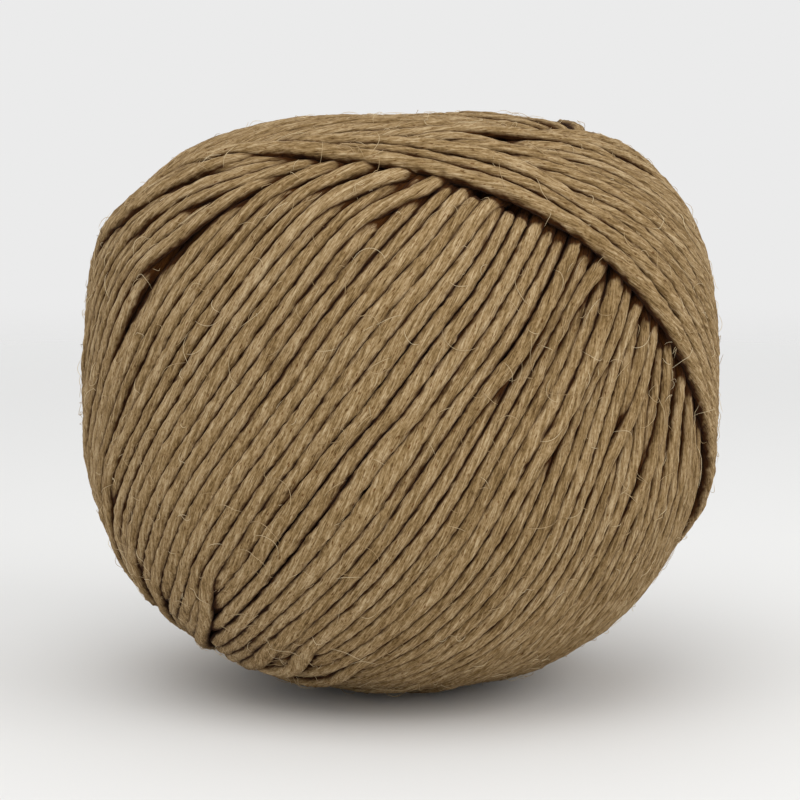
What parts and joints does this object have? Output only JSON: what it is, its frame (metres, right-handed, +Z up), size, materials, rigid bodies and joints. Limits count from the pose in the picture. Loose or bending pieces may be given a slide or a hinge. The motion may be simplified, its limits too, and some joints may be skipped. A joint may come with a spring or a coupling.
{
  "type": "ball of ramie cord",
  "caption": "Machine-wound ball of plain natural ramie cord, slightly wider than high, resting on a small flat spot.",
  "frame": {"origin": "middle of the small flat spot that the ball rests on", "axes": "+Z up from the flat spot through the ball; +X to the right and +Y away from the viewer, as the ball is seen in the picture"},
  "size_m": [0.103, 0.102, 0.0938],
  "materials": {
    "ramie_cord": "matt, tan, loosely twisted plant fibre"
  },
  "bodies": {
    "root": {"cord_ball": "ramie_cord"}
  },
  "joints": []
}
